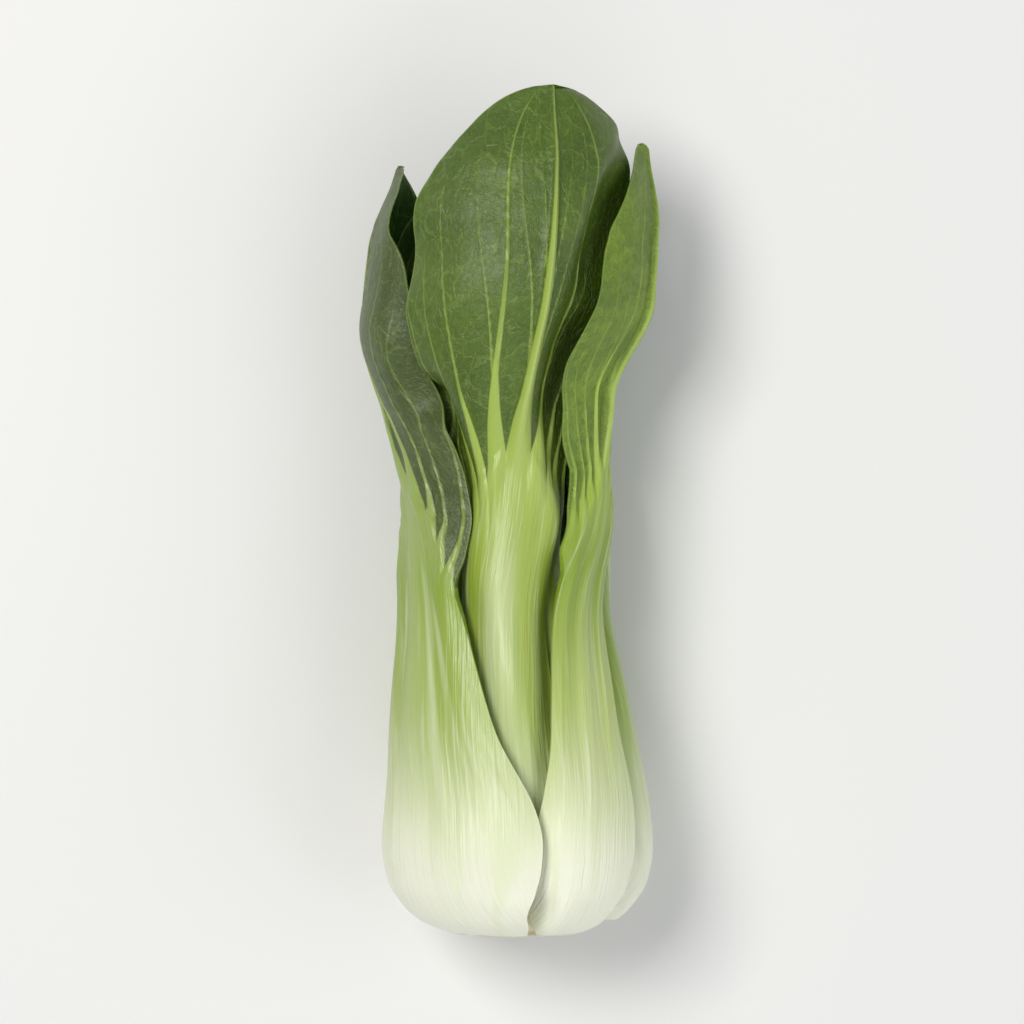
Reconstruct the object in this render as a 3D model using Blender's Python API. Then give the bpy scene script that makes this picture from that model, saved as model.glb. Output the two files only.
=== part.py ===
"""A head of bok choy, cut at the root and lying on its side.

The head lies along +Y with its cut end at -Y, and +Z is up. Every leaf is a layer round the head's axis:
a station s is measured along the axis from the cut, an azimuth round it from +X towards +Z, and a radius
out from it. Sizes in the tables are millimetres and degrees, and place() turns them into metres.
"""

from dataclasses import dataclass
from math import pi

import bmesh
import bpy
import numpy as np

MM = 0.001

# The whole head
LENGTH = 200.0
BULB = ((0, 17), (2, 23), (6.5, 28), (12, 31.2), (20, 32.5), (39, 30.6), (55, 28.6), (80, 25.6), (106, 25.4))
AXIS_SIDE = ((0, 0), (30, -0.2), (55, -1.9), (80, -3.4), (104, -2.2), (123, -2.6), (150, -0.8), (200, 1.0))
AXIS_HEIGHT = ((0, 30.8), (40, 30.8), (110, 28.9), (200, 26.6))
CENTRE_SIDE = -1.4
CORE = ((0, 12.0), (5, 12.0), (11, 10.6), (18, 7.4), (25, 4.2), (31, 1.0))

# Clearances between separate pieces, and the least thicknesses
STALK_GAP = 0.7
SEAM = 0.35
EDGE = 0.8
LAMINA = 0.75
RIB_EDGE = 0.6
RIB_ROOM = 0.3
DILATE = 1.6
GROOVE = 1.25

# A blade's margins ripple with this length, one side after the other, and droop towards the axis
RIPPLE_LENGTH = 27.0
RIPPLE_SHIFT = 2.4
DROOP = 1.5

# A leaf whose foot is lower than this reaches the cut, and starts narrower
AT_CUT = 5.0
CUT_SHARE = 0.48
FOOT_SHARE = 0.8
TIP_MIDRIB = 0.55
FULL_THICK = 8.5

# Where along a blade it is widest, as a share of its length
WIDEST = 0.6

# The grid that the layers are worked out on
STATIONS = np.arange(0.0, LENGTH + 1.0, 1.0)
TURN_STEP = 2.0
ANGLES = np.arange(0.0, 360.0, TURN_STEP)
CLEAR_CELLS = 4
BLUR_PASSES = 10

# What would come this near the table is pressed flat on it, and what is under PRESS_TOP moves down a little
PRESS = ((0, 0.7), (45, 0.7), (80, 0.15), (200, 0.15))
PRESS_TOP = 3.0

# The rows and columns of the leaves: columns are shares of a half width
STALK_COLUMNS = (-1, -0.7, -0.36, 0, 0.36, 0.7, 1)
BLADE_COLUMNS = (-1, -0.78, -0.52, -0.26, 0, 0.26, 0.52, 0.78, 1)
INNER_STALK_COLUMNS = (-1, -0.6, 0, 0.6, 1)
INNER_BLADE_COLUMNS = (-1, -0.7, -0.35, 0, 0.35, 0.7, 1)
RIB_COLUMNS = (-1, 1)
CLOSER = 1.6
NECK_ROW = 6.0
NECK_ROWS = 5
CORE_SIDES = 24

# Where the stalk's inner side steps out of the blade's way: the ends of the step, below the blade's start
STEP = (1.3, 0.45)

# Ridges down a stalk, and the ribs on a blade, which clear its facets by this much room each way
RIDGE_HEIGHT = 0.35
RIDGE_PITCH = 0.7
ROOM_ACROSS = 1.8
ROOM_ALONG = 2.5
RIB_BOTTOM = 0.25
RIB_TOP = 0.7
VEIN_END = 0.7

# Above this station the front middle leaf lies over the front left one, and below it under it
CROSSING = 126.0

PALE = (0.74, 0.80, 0.52)
PALE_INNER = (0.80, 0.84, 0.58)
GREEN = (0.13, 0.25, 0.06)
GREEN_INNER = (0.20, 0.34, 0.09)
CUT = (0.80, 0.76, 0.60)


@dataclass
class Leaf:
    """One leaf: foot, neck, opens and tip are stations, turn is its azimuth, and widths are half widths.

    Its blade starts below_neck under the neck, and the leaf lies inset from the head's outside.
    """

    name: str
    foot: float
    neck: float
    opens: float
    tip: float
    foot_half: float
    neck_half: float
    blade_half: float
    thick: float
    flare: float
    tip_radius: float
    turn: tuple
    inset: float = 0.0
    below_neck: float = 14.0
    blade_gap: float = 2.0
    pointed: float = 0.5
    ribs: int = 0
    wave: float = 1.0
    wave_phase: float = 0.0


# From the outermost leaf to the heart
LEAVES = (
    Leaf("front_left", 0, 98, 113, 184, 31, 10.5, 33, FULL_THICK, 36.2, 34.5,
         ((0, 134), (8, 134), (24, 135), (48, 140), (70, 142.5), (83, 146), (96, 154), (106, 168), (113, 179),
          (120, 189), (127, 195), (134, 196), (146, 193), (184, 190)), below_neck=18.0, pointed=0.72, ribs=3),
    Leaf("front_right", 0, 103, 127, 188, 14.0, 7.0, 19.5, 7.0, 34.0, 35.0,
         ((0, 58), (24, 56), (32, 54), (55, 50), (83, 39), (91, 32), (98, 27), (106, 25), (124, 24),
          (188, 17)), pointed=0.72, wave_phase=1.7, ribs=3),
    Leaf("underside", 0, 99, 106, 194, 33, 11.5, 31, FULL_THICK, 35.0, 33.0,
         ((0, 266), (100, 272), (194, 276)), blade_gap=3.6, wave_phase=0.6, ribs=3),
    Leaf("front_middle", 10, 105, 110, 200, 27, 11.2, 37, 7.5, 36.5, 31.0,
         ((0, 98), (43, 97), (75, 93.5), (88, 91), (106, 87.5), (118, 83.5), (130, 80.5), (160, 77),
          (200, 74)), below_neck=16.0, blade_gap=3.0, wave_phase=2.9, ribs=3),
    Leaf("right_side", 3, 98, 104, 176, 27, 10.5, 27, 7.5, 33.0, 33.0,
         ((0, 350), (80, 352), (176, 342)), wave_phase=4.4, ribs=3),
    Leaf("left_side", 8, 97, 104, 180, 25, 10.5, 27, 7.5, 34.0, 33.0,
         ((0, 206), (80, 210), (180, 226)), blade_gap=2.8, wave_phase=5.5, ribs=3),
    Leaf("inner_left", 18, 94, 100, 172, 17, 8.5, 22, 6.0, 27.0, 28.0,
         ((0, 150), (90, 146), (172, 138)), inset=7.0, wave_phase=0.9),
    Leaf("inner_right", 19, 92, 98, 164, 16, 8.0, 21, 6.0, 26.0, 27.0,
         ((0, 22), (90, 28), (164, 34)), inset=7.0, wave_phase=3.6),
    Leaf("inner_under", 20, 93, 99, 168, 16, 8.0, 22, 6.0, 25.0, 26.0,
         ((0, 282), (90, 284), (168, 288)), inset=7.0, wave_phase=2.2),
    Leaf("heart_front", 30, 86, 92, 146, 9, 5.5, 14, 4.0, 17.0, 15.0,
         ((0, 100), (146, 92)), inset=14.0, wave=0.6, wave_phase=1.2),
    Leaf("heart_left", 32, 78, 84, 130, 7.5, 4.5, 11, 3.0, 12.0, 10.0,
         ((0, 215), (130, 222)), inset=17.5, wave=0.5, wave_phase=4.0),
    Leaf("heart_right", 34, 66, 72, 102, 6.0, 3.8, 8.0, 2.5, 9.0, 7.0,
         ((0, 335), (102, 330)), inset=20.0, wave=0.4, wave_phase=5.1),
)


@dataclass
class Vein:
    """A side vein of half a blade, with shares of its length and half width, from start to end."""

    start: float
    start_across: float
    end: float
    end_across: float
    lateness: float
    width: float


SIDE_VEINS = (
    Vein(0.14, 0.28, 0.91, 0.42, 2.0, 2.2),
    Vein(0.10, 0.52, 0.74, 0.78, 1.7, 1.8),
    Vein(0.33, 0.03, 0.84, 0.26, 1.3, 1.2),
)


def smoothstep(low, high, x):
    """Rises smoothly from 0 at low to 1 at high."""
    t = np.clip((np.asarray(x, float) - low) / (high - low), 0.0, 1.0)
    return t * t * (3.0 - 2.0 * t)


def through(points, x):
    """A smooth curve through the points that turns only where they do."""
    px, py = np.array(points, float).T
    slope = np.diff(py) / np.diff(px)
    product = slope[:-1] * slope[1:]
    tangent = np.concatenate([slope[:1], np.zeros(len(product)), slope[-1:]])
    same_way = product > 0
    tangent[1:-1][same_way] = (2.0 * product / (slope[:-1] + slope[1:] + 1e-12))[same_way]
    x = np.clip(np.asarray(x, float), px[0], px[-1])
    i = np.clip(np.searchsorted(px, x) - 1, 0, len(px) - 2)
    h = px[i + 1] - px[i]
    t = (x - px[i]) / h
    rise = t * t * (3.0 - 2.0 * t)
    return (
        py[i] * (1.0 - rise)
        + py[i + 1] * rise
        + h * t * (1.0 - t) * ((1.0 - t) * tangent[i] - t * tangent[i + 1])
    )


def blade_start(leaf):
    return leaf.neck - leaf.below_neck


def stalk_half(leaf, s):
    """Half width of the stalk, which narrows into the midrib."""
    neck = leaf.neck
    return through(
        (
            (leaf.foot, leaf.foot_half * (CUT_SHARE if leaf.foot < AT_CUT else FOOT_SHARE)),
            (leaf.foot + 12, leaf.foot_half * 0.85),
            (leaf.foot * 0.5 + 24, leaf.foot_half),
            (50, leaf.foot_half * 0.6 + leaf.neck_half * 0.28),
            (neck - 15, leaf.neck_half * 1.16),
            (neck - 3, leaf.neck_half * 0.95),
            (neck + 4, leaf.neck_half * 0.52),
            (neck + 11, leaf.neck_half * 0.26),
            (neck + 26, leaf.neck_half * 0.14),
            (leaf.tip, TIP_MIDRIB),
        ),
        s,
    )


def leaf_half(leaf, s):
    """Half width of the whole leaf: the stalk's, and from the blade's start the blade's outline."""
    begin = blade_start(leaf)
    u = (np.asarray(s, float) - begin) / (leaf.tip - begin)
    at_start = stalk_half(leaf, begin) / leaf.blade_half
    lower = at_start + (1.0 - at_start) * smoothstep(0.0, WIDEST, u)
    upper = np.clip(1.0 - ((u - WIDEST) / (1.0 - WIDEST)) ** 2, 0.0, 1.0) ** leaf.pointed
    blade = leaf.blade_half * np.where(u < WIDEST, lower, upper)
    return np.where(u < 0.0, stalk_half(leaf, s), blade)


def stalk_depth(leaf, s):
    """How thick the stalk and midrib are at their middle."""
    middle = 0.5 * (leaf.neck + leaf.tip)
    lower = ((0, 1), (40, 1), (leaf.neck - 18, 0.8), (leaf.neck, 0.6))
    upper = ((leaf.neck + 14, 0.27), (middle, 0.2), (leaf.tip, 0.05))
    return leaf.thick * through(lower + upper, s)


def bulge(leaf, s, across, half):
    """The stalk's depth at a distance across it, in a round section of a half width."""
    return stalk_depth(leaf, s) * np.clip(1.0 - (across / half) ** 2, 0.0, 1.0)


def outward(leaf, s):
    """The share of the stalk's depth that stands out of the sheet: none low down, all in the blade."""
    return smoothstep(leaf.neck - 45.0, leaf.neck + 10.0, s)


def wanted_radius(leaf, s, v):
    """The radius that a leaf would take with nothing round it."""
    neck_radius = float(through(BULB, leaf.neck)) - leaf.inset
    middle = 0.45 * leaf.neck + 0.55 * leaf.tip
    below = tuple((at, radius - leaf.inset) for at, radius in BULB if at < leaf.neck - 5)
    above = ((leaf.opens, neck_radius + 0.3), (middle, leaf.flare), (leaf.tip, leaf.tip_radius))
    droop = DROOP * smoothstep(leaf.neck - 10, leaf.neck + 20, s)
    ripple = np.sin(2 * pi * s / RIPPLE_LENGTH + leaf.wave_phase + RIPPLE_SHIFT * (v > 0))
    wave = leaf.wave * smoothstep(leaf.neck + 2, leaf.neck + 22, s) * np.abs(v) ** 3 * ripple
    return through(below + above, s) - droop * v * v + wave


def table_radius(s, azimuth):
    """Radius at which a ray from the axis meets the table."""
    down = np.maximum(-np.sin(np.radians(azimuth)), 1e-3)
    return through(AXIS_HEIGHT, s) / down


def lowered(field):
    """The field's smooth underside."""
    for _ in range(CLEAR_CELLS):
        padded = np.pad(field, ((1, 1), (0, 0)), mode="edge")
        field = np.minimum.reduce([padded[:-2], padded[1:-1], padded[2:]])
        field = np.minimum.reduce([np.roll(field, 1, 1), field, np.roll(field, -1, 1)])
    for _ in range(BLUR_PASSES):
        padded = np.pad(field, ((1, 1), (0, 0)), mode="edge")
        field = 0.25 * padded[:-2] + 0.5 * padded[1:-1] + 0.25 * padded[2:]
        field = 0.25 * np.roll(field, 1, 1) + 0.5 * field + 0.25 * np.roll(field, -1, 1)
    return field


def turned_from(leaf, s, azimuth):
    """Degrees from the leaf's middle to an azimuth, from -180 to 180."""
    return (azimuth - through(leaf.turn, s) + 180.0) % 360.0 - 180.0


class Layer:
    """A leaf laid inside those already laid: its radius over every station and azimuth."""

    def __init__(self, leaf, ceiling):
        self.leaf = leaf
        s, azimuth = np.meshgrid(STATIONS, ANGLES, indexing="ij")
        rows = np.arange(len(STATIONS))
        column = np.round(through(leaf.turn, STATIONS) / TURN_STEP).astype(int) % len(ANGLES)
        room = ceiling[rows, column] - STALK_GAP
        middle = np.minimum(wanted_radius(leaf, STATIONS, 0.0), room)
        kernel = np.ones(9) / 9.0
        self.middle = np.convolve(np.pad(middle, 4, mode="edge"), kernel, mode="valid")
        across = np.radians(turned_from(leaf, s, azimuth)) * self.middle[:, None]
        v = np.clip(across / np.maximum(leaf_half(leaf, s), 0.5), -1.2, 1.2)
        wide = bulge(leaf, s, across, GROOVE * stalk_half(leaf, s)) ** 2 / stalk_depth(leaf, s)
        gap = STALK_GAP + (leaf.blade_gap - STALK_GAP) * smoothstep(blade_start(leaf), leaf.neck + 6, s)
        stands = outward(leaf, s) * wide + self.proud(s)
        in_stalk = 1.0 - smoothstep(leaf.neck + 4, leaf.neck + 24, s)
        lying = table_radius(s, azimuth) - stands - RIB_ROOM * smoothstep(blade_start(leaf), leaf.neck + 6, s)
        wanted = np.minimum(wanted_radius(leaf, s, v) - in_stalk * stands, lying)
        self.field = wanted + lowered(np.minimum(ceiling - gap - stands - wanted, 0.0))
        inner = self.sheet(s, azimuth) - EDGE
        inside = (np.abs(across) < leaf_half(leaf, s) + DILATE) & (s > leaf.foot - 2) & (s < leaf.tip + 2)
        self.below = np.where(inside, inner, np.inf)

    def proud(self, s):
        """How far the midrib's face stands off the blade, apart from its own depth."""
        begin = blade_start(self.leaf)
        return (SEAM + RIB_EDGE) * smoothstep(begin - 14, begin - 3, s)

    def radius(self, s, azimuth):
        """The layer's field between the points of its grid."""
        row = np.clip(np.asarray(s, float), STATIONS[0], STATIONS[-1] - 1e-6)
        column = (np.asarray(azimuth, float) % 360.0) / TURN_STEP
        i, j = np.floor(row).astype(int), np.floor(column).astype(int)
        fi, fj = row - i, column - j
        j, k = j % len(ANGLES), (j + 1) % len(ANGLES)
        f = self.field
        return (
            f[i, j] * (1 - fi) * (1 - fj)
            + f[i + 1, j] * fi * (1 - fj)
            + f[i, k] * (1 - fi) * fj
            + f[i + 1, k] * fi * fj
        )

    def across_of(self, s, azimuth):
        return np.radians(turned_from(self.leaf, s, azimuth)) * np.interp(s, STATIONS, self.middle)

    def azimuth_of(self, s, across):
        return through(self.leaf.turn, s) + np.degrees(across / np.interp(s, STATIONS, self.middle))

    def sheet(self, s, azimuth):
        """Outer face of the blade's sheet, which the stalk and ribs lie on."""
        depth = bulge(self.leaf, s, self.across_of(s, azimuth), np.maximum(leaf_half(self.leaf, s), 0.5))
        free = self.radius(s, azimuth) - (1.0 - outward(self.leaf, s)) * depth
        core = through(CORE, s) + SEAM + EDGE
        grown = smoothstep(self.leaf.foot + 2, self.leaf.foot + 10, s)
        free = core + (free - core) * grown
        return np.maximum(free, core)


def place(s, azimuth, radius):
    """A point of the head in metres: station, azimuth and radius to x, y and z."""
    turn = np.radians(azimuth)
    x = through(AXIS_SIDE, s) + radius * np.cos(turn) - CENTRE_SIDE
    z = through(AXIS_HEIGHT, s) + radius * np.sin(turn)
    press = through(PRESS, s)
    z = np.where(z < PRESS_TOP, np.maximum(z - press, 0.0) * PRESS_TOP / (PRESS_TOP - press), z)
    return np.stack([x, np.broadcast_to(s - LENGTH / 2, x.shape), z], axis=-1) * MM


def finish_mesh(bm, name, colour):
    """Turns a bmesh into a shown object with its own material."""
    bmesh.ops.recalc_face_normals(bm, faces=bm.faces)
    mesh = bpy.data.meshes.new(name)
    bm.to_mesh(mesh)
    bm.free()
    mesh.shade_smooth()
    material = bpy.data.materials.new(name)
    material.use_nodes = True
    shader = material.node_tree.nodes["Principled BSDF"]
    shader.inputs["Base Color"].default_value = (*colour, 1.0)
    shader.inputs["Roughness"].default_value = 0.45
    shader.inputs["Metallic"].default_value = 0.0
    mesh.materials.append(material)
    thing = bpy.data.objects.new(name, mesh)
    bpy.context.scene.collection.objects.link(thing)
    return thing


def slab(rows, columns, place_face):
    """A closed slab: a grid of triangles, extruded, with both faces placed by row, column and side."""
    bm = bmesh.new()
    across, along = len(columns) - 1, len(rows) - 1
    bmesh.ops.create_grid(bm, x_segments=across, y_segments=along, size=0.5)
    bmesh.ops.triangulate(bm, faces=bm.faces, quad_method="ALTERNATE")
    made = bmesh.ops.extrude_face_region(bm, geom=bm.faces[:], use_keep_orig=True)
    outer = {part for part in made["geom"] if isinstance(part, bmesh.types.BMVert)}
    grid = np.meshgrid(rows, columns, indexing="ij")
    faces = {side: place_face(grid[0], grid[1], side) for side in ("outer", "inner")}
    for vert in bm.verts:
        i, j = round((vert.co.y + 0.5) * along), round((vert.co.x + 0.5) * across)
        vert.co = faces["outer" if vert in outer else "inner"][i, j]
    bmesh.ops.remove_doubles(bm, verts=bm.verts, dist=1e-6)
    return bm


@dataclass
class Grid:
    """How a leaf is divided: shares of the half width, and how many rows."""

    stalk_columns: np.ndarray
    blade_columns: np.ndarray
    stalk_rows: int
    blade_rows: int


OUTER_GRID = Grid(np.array(STALK_COLUMNS), np.array(BLADE_COLUMNS), 8, 13)
INNER_GRID = Grid(np.array(INNER_STALK_COLUMNS), np.array(INNER_BLADE_COLUMNS), 5, 10)


def blade_rows(leaf, count):
    """Stations of the blade's rows, close together at its neck and its round tip."""
    begin = blade_start(leaf)
    neck = begin + NECK_ROW * np.arange(NECK_ROWS)
    share = np.linspace(0.0, 1.0, count - NECK_ROWS + 1)[1:]
    share = 0.5 * np.sin(share * pi / 2) + 0.5 * share
    return np.concatenate([neck, neck[-1] + (leaf.tip - neck[-1]) * share])


def stalk_rows(leaf, count, above):
    """Stations of the stalk's rows: up to the step that makes room for the blade, then the blade's rows."""
    begin = blade_start(leaf)
    below = leaf.foot + (begin - STEP[0] - leaf.foot) * np.linspace(0.0, 1.0, count) ** CLOSER
    return np.concatenate([below, [begin - STEP[1]], above[1:-1]])


def ridges(leaf, s, v):
    """Long low ridges down the outside of a stalk."""
    shown = smoothstep(25, 60, s) * (1.0 - smoothstep(leaf.neck - 5, leaf.neck + 10, s))
    height = RIDGE_HEIGHT * leaf.thick / FULL_THICK
    return height * shown * np.cos(2 * pi * v / RIDGE_PITCH) * (1.0 - v**4)


def faceted_sheet(layer, rows, columns, s, across):
    """Radius of the blade's face between the corners of its own grid."""
    leaf = layer.leaf
    grid_s, grid_v = np.meshgrid(rows, columns, indexing="ij")
    corner = layer.sheet(grid_s, layer.azimuth_of(grid_s, grid_v * leaf_half(leaf, grid_s)))
    v = np.clip(across / np.maximum(leaf_half(leaf, s), 0.5), -1.0, 1.0)
    i = np.clip(np.searchsorted(rows, s, side="right") - 1, 0, len(rows) - 2)
    j = np.clip(np.searchsorted(columns, v, side="right") - 1, 0, len(columns) - 2)
    fi = np.clip((s - rows[i]) / (rows[i + 1] - rows[i]), 0.0, 1.0)
    fj = (v - columns[j]) / (columns[j + 1] - columns[j])
    low = corner[i, j] * (1.0 - fj) + corner[i, j + 1] * fj
    high = corner[i + 1, j] * (1.0 - fj) + corner[i + 1, j + 1] * fj
    return low * (1.0 - fi) + high * fi


def over_sheet(layer, rows, columns, s, across):
    """Radius that clears the blade's faceted sheet, with a little room all round."""
    shifts = [(up * ROOM_ALONG, out * ROOM_ACROSS) for up in (-1, 0, 1) for out in (-1, 0, 1)]
    near = [faceted_sheet(layer, rows, columns, s + up, across + out) for up, out in shifts]
    return np.maximum.reduce(near)


def make_stalk(layer, grid, rows):
    """The pale stalk with its midrib, as one body, which lies on the blade's grid above."""
    leaf = layer.leaf
    step = blade_start(leaf) - STEP[0]

    def place_face(s, v, side):
        across = v * stalk_half(leaf, s)
        azimuth = layer.azimuth_of(s, across)
        in_stalk = s < step + STEP[1]
        on_blade = over_sheet(layer, rows, grid.blade_columns, s, across)
        sheet = np.where(in_stalk, layer.sheet(s, azimuth), on_blade)
        if side == "inner":
            return place(s, azimuth, sheet + np.where(in_stalk, -EDGE, SEAM))
        rib = outward(leaf, s) * bulge(leaf, s, across, stalk_half(leaf, s))
        depth = np.maximum(layer.radius(s, azimuth) + rib - sheet, 0.0)
        return place(s, azimuth, sheet + depth + layer.proud(s) + ridges(leaf, s, v))

    return slab(stalk_rows(leaf, grid.stalk_rows, rows), grid.stalk_columns, place_face)


def make_blade(layer, columns, rows):
    """The thin green blade, as one body."""
    leaf = layer.leaf

    def place_face(s, v, side):
        azimuth = layer.azimuth_of(s, v * leaf_half(leaf, s))
        return place(s, azimuth, layer.sheet(s, azimuth) - (LAMINA if side == "inner" else 0.0))

    return slab(rows, columns, place_face)


def make_rib(layer, vein, half, rows, columns):
    """One side vein, from inside the stalk out towards the blade's edge."""
    leaf = layer.leaf
    begin = blade_start(leaf)
    length = leaf.tip - begin
    start, end = begin + length * vein.start, begin + length * vein.end
    crossed = rows[(rows > start + 1.0) & (rows < end - 1.0)]

    def place_face(s, v, side):
        share = (s - start) / (end - start)
        middle = vein.start_across + (vein.end_across - vein.start_across) * share**vein.lateness
        width = vein.width + (VEIN_END - vein.width) * share
        across = half * middle * leaf_half(leaf, s) + v * width / 2
        height = RIB_TOP + 0.2 * width if side == "outer" else RIB_BOTTOM
        azimuth = layer.azimuth_of(s, across)
        table = table_radius(s, azimuth) - (0.0 if side == "outer" else RIB_EDGE)
        sheet = over_sheet(layer, rows, columns, s, across)
        return place(s, azimuth, np.minimum(sheet + SEAM + height, table))

    return slab(np.concatenate([[start], crossed, [end]]), np.array(RIB_COLUMNS), place_face)


def unite(thing, others):
    """Makes the thing and the others one body."""
    group = bpy.data.collections.new("repeats")
    for other in others:
        group.objects.link(other)
    union = thing.modifiers.new("union", "BOOLEAN")
    union.operation = "UNION"
    union.operand_type = "COLLECTION"
    union.collection = group
    graph = bpy.context.evaluated_depsgraph_get()
    mesh = bpy.data.meshes.new_from_object(thing.evaluated_get(graph))
    thing.modifiers.clear()
    thing.data = mesh
    for other in others:
        bpy.data.objects.remove(other)
    bpy.data.collections.remove(group)


def make_core():
    """The short stem that the leaves grow from, with the cut face at its foot."""
    bm = bmesh.new()
    profile = [bm.verts.new(place(at, 90.0, radius)) for at, radius in CORE]
    edges = [bm.edges.new(pair) for pair in zip(profile, profile[1:])]
    centre = place(0.0, 0.0, 0.0)
    bmesh.ops.spin(
        bm, geom=profile + edges, cent=centre, axis=(0, 1, 0), angle=2 * pi, steps=CORE_SIDES, use_merge=True
    )
    bmesh.ops.remove_doubles(bm, verts=bm.verts, dist=1e-6)
    bmesh.ops.holes_fill(bm, edges=bm.edges, sides=0)
    return bm


def lay_leaves():
    """Lays every leaf inside the ones before it."""
    s, azimuth = np.meshgrid(STATIONS, ANGLES, indexing="ij")
    room = np.full_like(s, 2.0 * LENGTH)
    above = s > CROSSING
    leaf_of = {leaf.name: leaf for leaf in LEAVES}
    over = Layer(leaf_of["front_middle"], room).below
    layers = {}
    for leaf in LEAVES:
        ceiling = room
        for name, layer in layers.items():
            lies_over = leaf.name == "front_middle" and name == "front_left"
            ceiling = np.minimum(ceiling, np.where(above & lies_over, np.inf, layer.below))
        if leaf.name == "front_left":
            ceiling = np.where(above, np.minimum(ceiling, over), ceiling)
        layers[leaf.name] = Layer(leaf, ceiling)
    return list(layers.values())


def build():
    for thing in list(bpy.data.objects):
        bpy.data.objects.remove(thing)
    finish_mesh(make_core(), "stem_core", CUT)
    for layer in lay_leaves():
        leaf = layer.leaf
        slim = leaf.inset > 0
        grid = INNER_GRID if slim else OUTER_GRID
        rows = blade_rows(leaf, grid.blade_rows)
        stalk = make_stalk(layer, grid, rows)
        stalk = finish_mesh(stalk, f"{leaf.name}_stalk", PALE_INNER if slim else PALE)
        ribs = [
            finish_mesh(make_rib(layer, vein, half, rows, grid.blade_columns), "rib", PALE)
            for vein in SIDE_VEINS[: leaf.ribs]
            for half in (-1, 1)
        ]
        if ribs:
            unite(stalk, ribs)
        blade = make_blade(layer, grid.blade_columns, rows)
        finish_mesh(blade, f"{leaf.name}_blade", GREEN_INNER if slim else GREEN)


build()
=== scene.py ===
"""The looks of a head of bok choy on its side, its cut root towards -Y and its leaf tips towards +Y.

Every leaf is one continuous piece, from its pale stalk to the tip of its blade. It is a layer round the
head's axis: a station s is measured along the axis from the cut, an azimuth round it from +X towards +Z, and
a radius out from it. Tables are in millimetres and degrees, and place() turns them into metres.
"""

from dataclasses import dataclass
from math import pi

import bmesh
import bpy
import numpy as np
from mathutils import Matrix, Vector


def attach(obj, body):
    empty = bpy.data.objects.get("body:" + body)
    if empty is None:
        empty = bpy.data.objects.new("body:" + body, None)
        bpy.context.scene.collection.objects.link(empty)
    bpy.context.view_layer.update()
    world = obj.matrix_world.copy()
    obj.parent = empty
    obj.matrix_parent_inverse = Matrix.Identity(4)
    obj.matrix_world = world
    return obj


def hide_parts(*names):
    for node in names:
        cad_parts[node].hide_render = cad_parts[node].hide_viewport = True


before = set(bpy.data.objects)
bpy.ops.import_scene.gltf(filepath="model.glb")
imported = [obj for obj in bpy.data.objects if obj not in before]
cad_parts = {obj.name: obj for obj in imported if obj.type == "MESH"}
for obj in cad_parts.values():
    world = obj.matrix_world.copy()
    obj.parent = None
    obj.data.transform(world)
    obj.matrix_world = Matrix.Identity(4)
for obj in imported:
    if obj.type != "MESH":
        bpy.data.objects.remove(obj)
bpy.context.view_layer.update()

MM = 0.001

# The whole head
LENGTH = 200.0
BULB = ((0, 17), (2, 23), (6.5, 28), (12, 31.2), (20, 32.5), (39, 30.6), (55, 28.6), (80, 25.6), (106, 25.4))
AXIS_SIDE = ((0, 0), (30, -0.2), (55, -1.9), (80, -3.4), (104, -2.2), (123, -2.6), (150, -0.8), (200, 1.0))
AXIS_HEIGHT = ((0, 30.8), (40, 30.8), (110, 28.9), (200, 26.6))
CENTRE_SIDE = -1.4
CORE = ((0, 12.0), (5, 12.0), (11, 10.6), (18, 7.4), (25, 4.2), (31, 1.0))

# What would come this near the table is pressed flat on it, and what is under PRESS_TOP moves down a little
PRESS = ((0, 0.7), (45, 0.7), (80, 0.15), (200, 0.15))
PRESS_TOP = 3.0

# The leaves' thicknesses and the room between them
STALK_GAP = 0.7
SEAM = 0.35
STALK_EDGE = 0.8
LAMINA = 0.75
LAMINA_MARGIN = 0.35
RIB_EDGE = 0.6
RIB_ROOM = 0.3
DILATE = 1.6
GROOVE = 1.25

# A leaf's ripples, how its margins droop, its outline's shares, and the station where blades cross over
RIPPLE_LENGTH = 27.0
RIPPLE_SHIFT = 2.4
DROOP = 1.5
AT_CUT = 5.0
CUT_SHARE = 0.48
FOOT_SHARE = 0.8
TIP_MIDRIB = 0.55
FULL_THICK = 8.5
WIDEST = 0.6
CROSSING = 126.0

# The grid that the layers are worked out on
STATIONS = np.arange(0.0, LENGTH + 1.0, 1.0)
TURN_STEP = 2.0
ANGLES = np.arange(0.0, 360.0, TURN_STEP)
CLEAR_CELLS = 4
BLUR_PASSES = 10
MIDDLE_REACH = 4

# Relief, in millimetres: heights, lengths and pitches of ridges, ribs and waves, the stations where ridges
# rise, the size and height of the puckers, and the share of a vein's height that the inner face takes
RIDGE_HEIGHT = 0.35
RIDGE_PITCH = 0.7
FINE_RIDGE = 0.12
RIB_LOW = 0.22
RIB_SLOPE = 0.30
RIB_WIDEST = 2.0
LEAST_FLANK = 0.3
THIN_VEIN = 0.5
PUCKERS = ((19.0, 0.75), (7.5, 0.40), (3.6, 0.20))
FRILL = 1.1
NOTCH = 0.022
TIP_CURL = 4.5
CURLED = 20.0
THIN_TIP = 6.0
FULL_BLADE = 27.0
EDGE_WAVES = ((7.0, 1.0), (2.6, 0.4))
FRILL_LENGTH = 11.0
RIDGES_FROM = (25, 60)
FINE_RIDGES_FROM = (4, 20)
FINE_RIDGE_LENGTH = 45.0
FINE_RIDGE_PITCH = 1.5
INNER_RELIEF = 0.35

# How fine the meshes are: the length of a row in a stalk at the finest, and the stem's rows and steps round
STALK_ROW = 1.2
FINEST_MESH = 0.6
STEM_ROWS = 90
STEM_STEPS = 96

# The picture: the camera looks straight down, with the leaf tips at the top
PICTURE_HEIGHT = 0.246
LENS = 120.0
SENSOR = 36.0

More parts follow.
